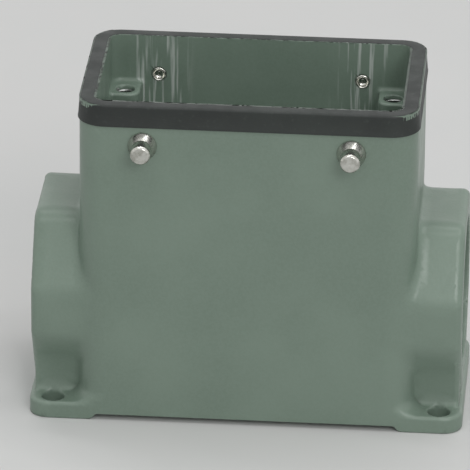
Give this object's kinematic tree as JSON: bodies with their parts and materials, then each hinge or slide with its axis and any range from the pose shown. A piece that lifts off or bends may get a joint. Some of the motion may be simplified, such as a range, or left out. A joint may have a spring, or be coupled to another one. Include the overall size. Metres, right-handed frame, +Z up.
{
  "type": "heavy duty connector housing",
  "caption": "Empty surface mounting housing of a heavy duty rectangular connector, with a cable entry in each end, locking pegs on both sides, a rim seal and foot holes.",
  "frame": {"origin": "middle of the base, level with the underside of the feet", "axes": "+X along the housing through both cable entries, -Y the front long side, +Z up out of the insert opening"},
  "size_m": [0.0918, 0.0528, 0.0724],
  "materials": {
    "paint": "grey-green powder coat, semi-gloss, on an aluminium die casting",
    "rubber": "matt black moulded rubber",
    "steel": "bright turned steel"
  },
  "bodies": {
    "root": {"housing": "paint", "rim_gasket": "rubber", "locking_peg_front_left": "steel", "locking_peg_front_right": "steel", "locking_peg_rear_left": "steel", "locking_peg_rear_right": "steel"}
  },
  "joints": []
}
